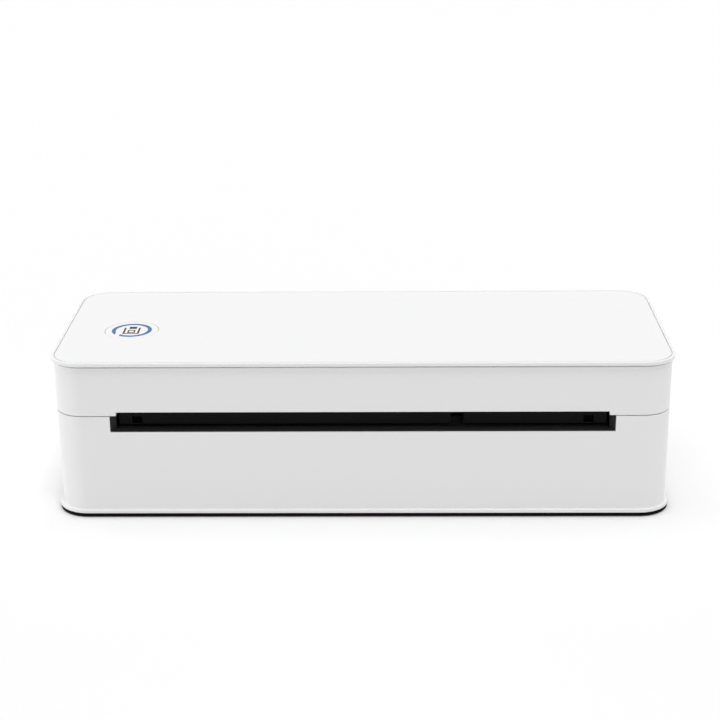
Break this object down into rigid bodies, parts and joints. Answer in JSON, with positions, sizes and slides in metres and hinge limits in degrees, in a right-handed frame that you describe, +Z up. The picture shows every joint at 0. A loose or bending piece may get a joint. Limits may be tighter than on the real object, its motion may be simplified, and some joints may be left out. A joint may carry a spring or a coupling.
{
  "type": "a4_portable_thermal_printer",
  "caption": "Low white portable thermal printer for A4 sheets with a rear-hinged cover, a black front paper slot and a round button with a blue ring.",
  "frame": {"origin": "Under the middle of the printer, on the plane that the rubber feet stand on.", "axes": "+X runs to the right across the paper as seen from the front, the longest side; +Y runs from the front with the exit slot to the rear with the hinge; +Z is up, the shortest side."},
  "size_m": [0.2742, 0.1038, 0.0728],
  "materials": {
    "white_shell": "white moulded plastic with a fine soft grain",
    "white_gloss": "white moulded plastic with a satin gloss",
    "black_plastic": "black moulded plastic with a fine grain",
    "grey_plastic": "light grey moulded plastic",
    "gear_plastic": "cream acetal plastic",
    "blue_light": "clear blue light guide",
    "icon_grey": "dark grey printed inlay",
    "steel": "zinc plated steel",
    "polished_steel": "ground steel pin",
    "aluminium": "extruded aluminium",
    "ceramic_strip": "glazed ceramic heater strip",
    "rubber": "black rubber",
    "board": "green solder mask over glass fibre",
    "cell_wrap": "blue shrink wrap round a steel can"
  },
  "bodies": {
    "base": {"lower_shell": "white_shell", "bottom_cover": "black_plastic", "rubber_feet": "rubber", "chassis": "black_plastic", "front_bezel": "black_plastic", "rear_bezel": "black_plastic", "hinge_pins": "polished_steel", "platen_bushings": "gear_plastic", "motor": "steel", "motor_screws": "steel", "idler_pin": "polished_steel", "latch_springs": "steel", "lower_sensor": "black_plastic", "guide_pinion_screw": "steel", "main_board": "board", "board_parts": "black_plastic", "board_screws": "steel", "usb_socket": "steel", "power_jack": "black_plastic", "switch_housing": "black_plastic", "battery_holder": "black_plastic", "battery_cells": "cell_wrap", "case_screws": "steel"},
    "cover": {"cover_shell": "white_shell", "top_plate": "white_gloss", "top_panel": "white_gloss", "upper_frame": "black_plastic", "upper_sensor": "black_plastic", "head_pins": "polished_steel", "keeper_pins": "polished_steel", "button_board": "board", "key_switch": "black_plastic", "button_screws": "steel", "cover_screws": "steel"},
    "button": {"button_cap": "white_gloss", "button_ring": "blue_light", "button_icon": "icon_grey"},
    "head": {"print_head": "ceramic_strip", "head_board": "board", "heat_sink": "aluminium", "head_bracket": "steel", "head_springs": "steel"},
    "platen": {"platen_shaft": "polished_steel", "platen_rubber": "rubber", "platen_gear": "gear_plastic"},
    "idler": {"idler_gear": "gear_plastic"},
    "rotor": {"motor_shaft": "polished_steel", "motor_pinion": "gear_plastic"},
    "latch": {"latch_shaft": "polished_steel", "left_lever": "grey_plastic", "right_lever": "grey_plastic"},
    "left_paper_guide": {"left_guide": "black_plastic"},
    "right_paper_guide": {"right_guide": "black_plastic"},
    "guide_wheel": {"guide_pinion": "gear_plastic"},
    "rocker": {"power_rocker": "black_plastic"}
  },
  "joints": [
    {"name": "cover_hinge", "type": "hinge", "parent": "base", "child": "cover", "pos_m": [0, 0.049, 0.0478], "axis": [-1, 0, 0], "range_deg": [0, 80]},
    {"name": "button_press", "type": "slide", "parent": "cover", "child": "button", "axis": [0, 0, -1], "range_m": [0, 0.0008], "stiffness_N_per_m": 900, "springref_m": -0.0004},
    {"name": "head_pivot", "type": "hinge", "parent": "cover", "child": "head", "pos_m": [0, -0.006, 0.04945], "axis": [-1, 0, 0], "range_deg": [0, 2.5], "stiffness_Nm_per_rad": 4, "springref_deg": -3.44, "deforming": ["head_springs"]},
    {"name": "platen_spin", "type": "hinge", "parent": "base", "child": "platen", "pos_m": [0, -0.026, 0.034], "axis": [1, 0, 0], "continuous": true},
    {"name": "idler_spin", "type": "hinge", "parent": "base", "child": "idler", "pos_m": [-0.1235, -0.01469, 0.02269], "axis": [1, 0, 0], "continuous": true},
    {"name": "motor_spin", "type": "hinge", "parent": "base", "child": "rotor", "pos_m": [-0.1235, 0.00265, 0.01963], "axis": [1, 0, 0], "continuous": true},
    {"name": "latch_pivot", "type": "hinge", "parent": "base", "child": "latch", "pos_m": [0, -0.037, 0.025], "axis": [1, 0, 0], "range_deg": [0, 8], "stiffness_Nm_per_rad": 0.3, "springref_deg": -17.19},
    {"name": "left_guide_slide", "type": "slide", "parent": "base", "child": "left_paper_guide", "axis": [1, 0, 0], "range_m": [0, 0.05]},
    {"name": "right_guide_slide", "type": "slide", "parent": "base", "child": "right_paper_guide", "axis": [-1, 0, 0], "range_m": [0, 0.05]},
    {"name": "guide_wheel_spin", "type": "hinge", "parent": "base", "child": "guide_wheel", "pos_m": [0, 0.024, 0.038], "axis": [0, 0, 1], "range_deg": [0, 412]},
    {"name": "rocker_tilt", "type": "hinge", "parent": "base", "child": "rocker", "pos_m": [0.082, 0.0475, 0.0161], "axis": [0, 0, 1], "range_deg": [0, 16]}
  ],
  "couplings": [
    {"joint": "idler_spin", "follows": "motor_spin", "ratio": -0.375},
    {"joint": "platen_spin", "follows": "motor_spin", "ratio": 0.20192},
    {"joint": "right_guide_slide", "follows": "left_guide_slide", "ratio": 1},
    {"joint": "guide_wheel_spin", "follows": "left_guide_slide", "rad_per_m": 142.86}
  ]
}
